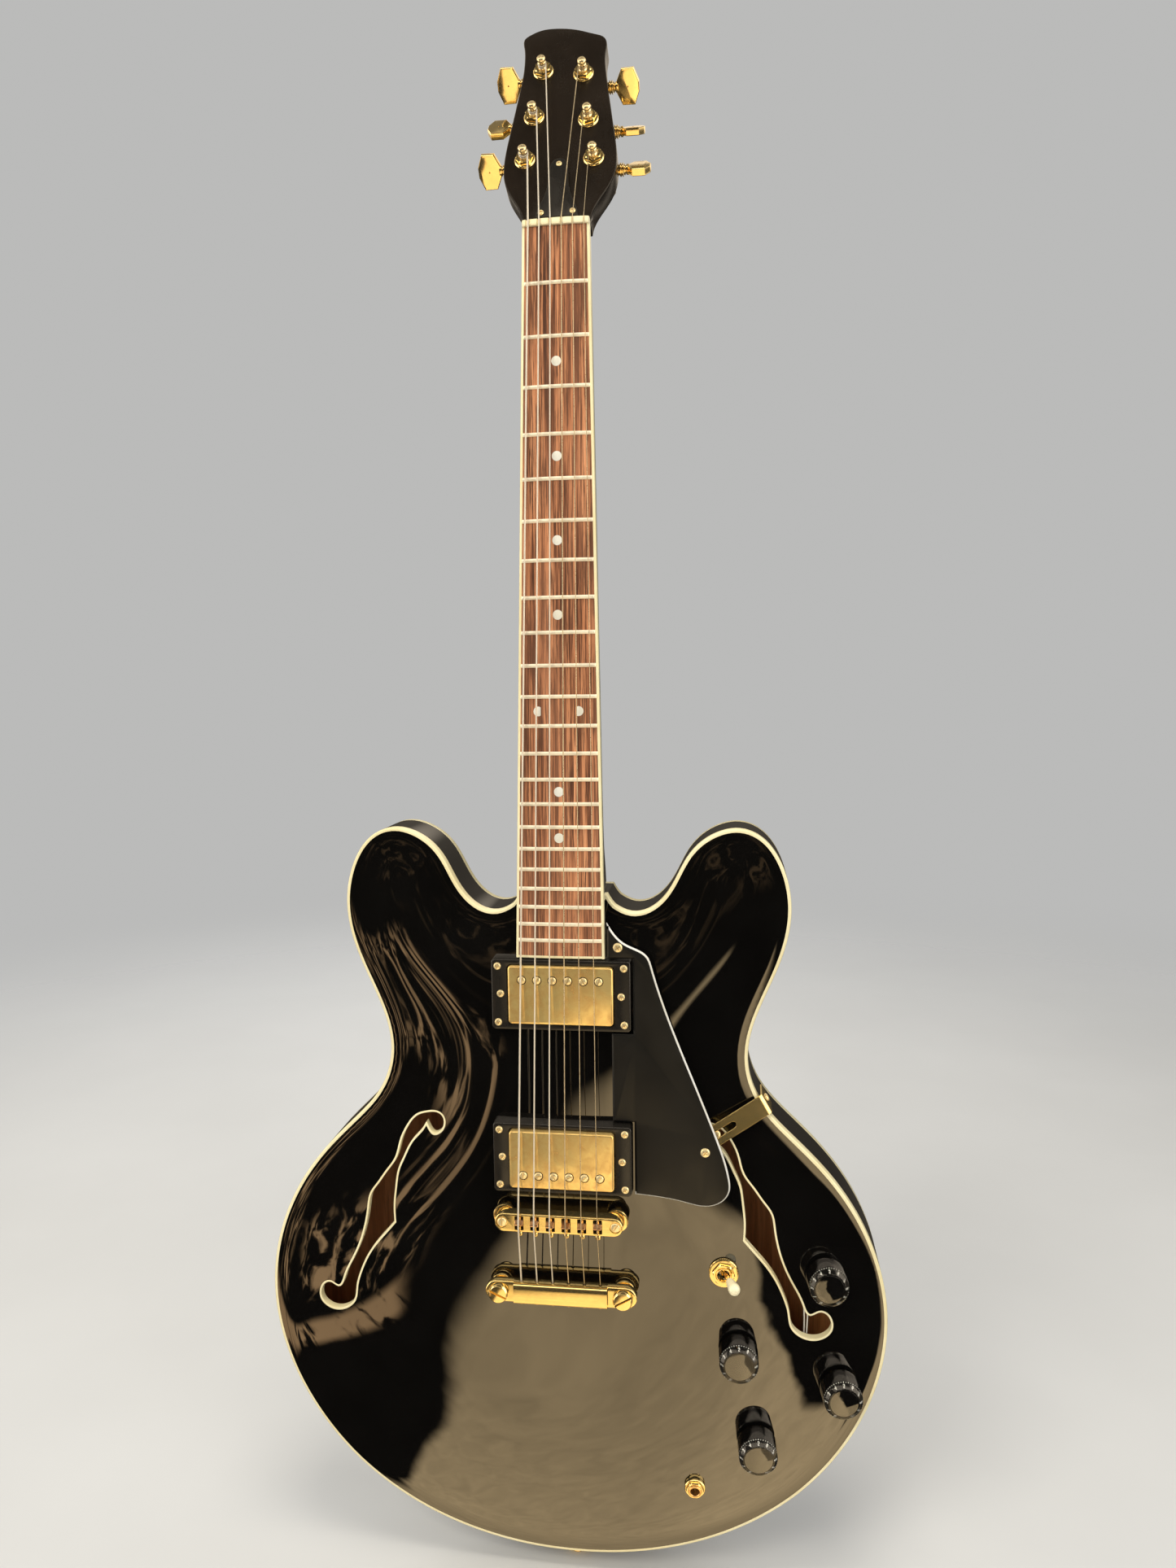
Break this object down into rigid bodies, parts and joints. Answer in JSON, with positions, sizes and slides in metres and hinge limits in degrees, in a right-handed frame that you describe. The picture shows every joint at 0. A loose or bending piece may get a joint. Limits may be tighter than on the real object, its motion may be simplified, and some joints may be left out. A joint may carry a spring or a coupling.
{
  "type": "electric guitar",
  "caption": "Semi-hollow electric guitar with arched double-cutaway body, f-holes, set neck, humbucking pickups, tune-o-matic style bridge, stop tailpiece and tuning machines.",
  "frame": {"origin": "middle of the outer face of the end strap button, the lowest point when the guitar hangs", "axes": "+Z from the end strap button towards the headstock, -Y out of the front of the body, +X towards the treble side"},
  "size_m": [0.4206, 0.1272, 1.0534],
  "materials": {
    "black_body": "black gloss lacquer",
    "cream_binding": "cream, polished",
    "fretboard": "rosewood, oiled, nickel frets",
    "nut": "cream, polished edges",
    "gold_hardware": "gold plated, slightly tarnished",
    "nickel_parts": "nickel plated",
    "black_plastic": "black, smooth",
    "toggle_tip": "cream",
    "strings": "wound and plain steel"
  },
  "bodies": {
    "guitar": {"body_top": "black_body", "body_back": "black_body", "body_frame": "black_body", "top_binding": "cream_binding", "back_binding": "cream_binding", "neck": "black_body", "fretboard": "fretboard", "nut": "nut", "truss_rod_cover": "black_plastic", "tuner_housing_bass_1": "gold_hardware", "tuner_housing_bass_2": "gold_hardware", "tuner_housing_bass_3": "gold_hardware", "tuner_housing_treble_3": "gold_hardware", "tuner_housing_treble_2": "gold_hardware", "tuner_housing_treble_1": "gold_hardware", "pickup_ring_neck": "black_plastic", "pickup_ring_bridge": "black_plastic", "bridge_base": "gold_hardware", "bridge_post_bass": "gold_hardware", "bridge_post_treble": "gold_hardware", "tailpiece": "gold_hardware", "tail_stud_bass": "gold_hardware", "tail_stud_treble": "gold_hardware", "pickguard": "black_plastic", "pickguard_bracket": "gold_hardware", "toggle_switch": "gold_hardware", "output_jack": "gold_hardware", "strap_button_end": "gold_hardware", "strap_button_heel": "gold_hardware", "string_1": "strings", "string_2": "strings", "string_3": "strings", "string_4": "strings", "string_5": "strings", "string_6": "strings"},
    "tuner_button_bass_1": {"tuner_button_bass_1": "gold_hardware"},
    "tuner_post_bass_1": {"tuner_post_bass_1": "nickel_parts"},
    "tuner_button_bass_2": {"tuner_button_bass_2": "gold_hardware"},
    "tuner_post_bass_2": {"tuner_post_bass_2": "nickel_parts"},
    "tuner_button_bass_3": {"tuner_button_bass_3": "gold_hardware"},
    "tuner_post_bass_3": {"tuner_post_bass_3": "nickel_parts"},
    "tuner_button_treble_3": {"tuner_button_treble_3": "gold_hardware"},
    "tuner_post_treble_3": {"tuner_post_treble_3": "nickel_parts"},
    "tuner_button_treble_2": {"tuner_button_treble_2": "gold_hardware"},
    "tuner_post_treble_2": {"tuner_post_treble_2": "nickel_parts"},
    "tuner_button_treble_1": {"tuner_button_treble_1": "gold_hardware"},
    "tuner_post_treble_1": {"tuner_post_treble_1": "nickel_parts"},
    "knob_upper_outer": {"knob_upper_outer": "black_plastic"},
    "knob_upper_inner": {"knob_upper_inner": "black_plastic"},
    "knob_lower_inner": {"knob_lower_inner": "black_plastic"},
    "knob_lower_outer": {"knob_lower_outer": "black_plastic"},
    "toggle_lever": {"toggle_lever": "toggle_tip"},
    "saddle_1": {"saddle_1": "nickel_parts"},
    "saddle_2": {"saddle_2": "nickel_parts"},
    "saddle_3": {"saddle_3": "nickel_parts"},
    "saddle_4": {"saddle_4": "nickel_parts"},
    "saddle_5": {"saddle_5": "nickel_parts"},
    "saddle_6": {"saddle_6": "nickel_parts"},
    "pickup_neck": {"pickup_neck": "gold_hardware"},
    "pickup_bridge": {"pickup_bridge": "gold_hardware"}
  },
  "joints": [
    {"name": "tuner_button_bass_1_turn", "type": "hinge", "parent": "guitar", "child": "tuner_button_bass_1", "pos_m": [-0.023, 0.03664, 0.9574], "axis": [-1, 0, 0], "continuous": true},
    {"name": "tuner_post_bass_1_turn", "type": "hinge", "parent": "guitar", "child": "tuner_post_bass_1", "pos_m": [-0.023, 0.01526, 0.95318], "axis": [0, -0.9354, 0.3535], "continuous": true},
    {"name": "tuner_button_bass_2_turn", "type": "hinge", "parent": "guitar", "child": "tuner_button_bass_2", "pos_m": [-0.0185, 0.04865, 0.98921], "axis": [-1, 0, 0], "continuous": true},
    {"name": "tuner_post_bass_2_turn", "type": "hinge", "parent": "guitar", "child": "tuner_post_bass_2", "pos_m": [-0.0185, 0.02728, 0.98499], "axis": [0, -0.9354, 0.3535], "continuous": true},
    {"name": "tuner_button_bass_3_turn", "type": "hinge", "parent": "guitar", "child": "tuner_button_bass_3", "pos_m": [-0.014, 0.06173, 1.02382], "axis": [-1, 0, 0], "continuous": true},
    {"name": "tuner_post_bass_3_turn", "type": "hinge", "parent": "guitar", "child": "tuner_post_bass_3", "pos_m": [-0.014, 0.04036, 1.0196], "axis": [0, -0.9354, 0.3535], "continuous": true},
    {"name": "tuner_button_treble_3_turn", "type": "hinge", "parent": "guitar", "child": "tuner_button_treble_3", "pos_m": [0.013, 0.05855, 1.0154], "axis": [1, 0, 0], "continuous": true},
    {"name": "tuner_post_treble_3_turn", "type": "hinge", "parent": "guitar", "child": "tuner_post_treble_3", "pos_m": [0.013, 0.03877, 1.01539], "axis": [0, -0.9354, 0.3535], "continuous": true},
    {"name": "tuner_button_treble_2_turn", "type": "hinge", "parent": "guitar", "child": "tuner_button_treble_2", "pos_m": [0.0175, 0.0453, 0.98032], "axis": [1, 0, 0], "continuous": true},
    {"name": "tuner_post_treble_2_turn", "type": "hinge", "parent": "guitar", "child": "tuner_post_treble_2", "pos_m": [0.0175, 0.02551, 0.98031], "axis": [0, -0.9354, 0.3535], "continuous": true},
    {"name": "tuner_button_treble_1_turn", "type": "hinge", "parent": "guitar", "child": "tuner_button_treble_1", "pos_m": [0.022, 0.03434, 0.95132], "axis": [1, 0, 0], "continuous": true},
    {"name": "tuner_post_treble_1_turn", "type": "hinge", "parent": "guitar", "child": "tuner_post_treble_1", "pos_m": [0.022, 0.01456, 0.95131], "axis": [0, -0.9354, 0.3535], "continuous": true},
    {"name": "knob_upper_outer_turn", "type": "hinge", "parent": "guitar", "child": "knob_upper_outer", "pos_m": [0.1696, -0.02821, 0.23], "axis": [0.0995, -0.995, 0.0099], "range_deg": [-150, 150]},
    {"name": "knob_upper_inner_turn", "type": "hinge", "parent": "guitar", "child": "knob_upper_inner", "pos_m": [0.1135, -0.03498, 0.1785], "axis": [0.037, -0.9992, -0.018], "range_deg": [-150, 150]},
    {"name": "knob_lower_inner_turn", "type": "hinge", "parent": "guitar", "child": "knob_lower_inner", "pos_m": [0.1256, -0.03068, 0.113], "axis": [0.0627, -0.996, -0.0637], "range_deg": [-150, 150]},
    {"name": "knob_lower_outer_turn", "type": "hinge", "parent": "guitar", "child": "knob_lower_outer", "pos_m": [0.1792, -0.0264, 0.1532], "axis": [0.1093, -0.9934, -0.0348], "range_deg": [-150, 150]},
    {"name": "toggle_lever_swing", "type": "hinge", "parent": "guitar", "child": "toggle_lever", "pos_m": [0.1042, -0.03236, 0.2313], "axis": [0, 0, -1], "range_deg": [0, 35]},
    {"name": "saddle_1_slide", "type": "slide", "parent": "guitar", "child": "saddle_1", "axis": [0, 0, 1], "range_m": [-0.0025, 0.0025]},
    {"name": "saddle_2_slide", "type": "slide", "parent": "guitar", "child": "saddle_2", "axis": [0, 0, 1], "range_m": [-0.0025, 0.0025]},
    {"name": "saddle_3_slide", "type": "slide", "parent": "guitar", "child": "saddle_3", "axis": [0, 0, 1], "range_m": [-0.0025, 0.0025]},
    {"name": "saddle_4_slide", "type": "slide", "parent": "guitar", "child": "saddle_4", "axis": [0, 0, 1], "range_m": [-0.0025, 0.0025]},
    {"name": "saddle_5_slide", "type": "slide", "parent": "guitar", "child": "saddle_5", "axis": [0, 0, 1], "range_m": [-0.0025, 0.0025]},
    {"name": "saddle_6_slide", "type": "slide", "parent": "guitar", "child": "saddle_6", "axis": [0, 0, 1], "range_m": [-0.0025, 0.0025]},
    {"name": "pickup_neck_height", "type": "slide", "parent": "guitar", "child": "pickup_neck", "axis": [0, -1, 0], "range_m": [-0.003, 0.001]},
    {"name": "pickup_bridge_height", "type": "slide", "parent": "guitar", "child": "pickup_bridge", "axis": [0, -1, 0], "range_m": [-0.003, 0.001]}
  ],
  "couplings": [
    {"joint": "tuner_post_bass_1_turn", "follows": "tuner_button_bass_1_turn", "ratio": 0.071429},
    {"joint": "tuner_post_bass_2_turn", "follows": "tuner_button_bass_2_turn", "ratio": 0.071429},
    {"joint": "tuner_post_bass_3_turn", "follows": "tuner_button_bass_3_turn", "ratio": 0.071429},
    {"joint": "tuner_post_treble_3_turn", "follows": "tuner_button_treble_3_turn", "ratio": -0.071429},
    {"joint": "tuner_post_treble_2_turn", "follows": "tuner_button_treble_2_turn", "ratio": -0.071429},
    {"joint": "tuner_post_treble_1_turn", "follows": "tuner_button_treble_1_turn", "ratio": -0.071429}
  ]
}
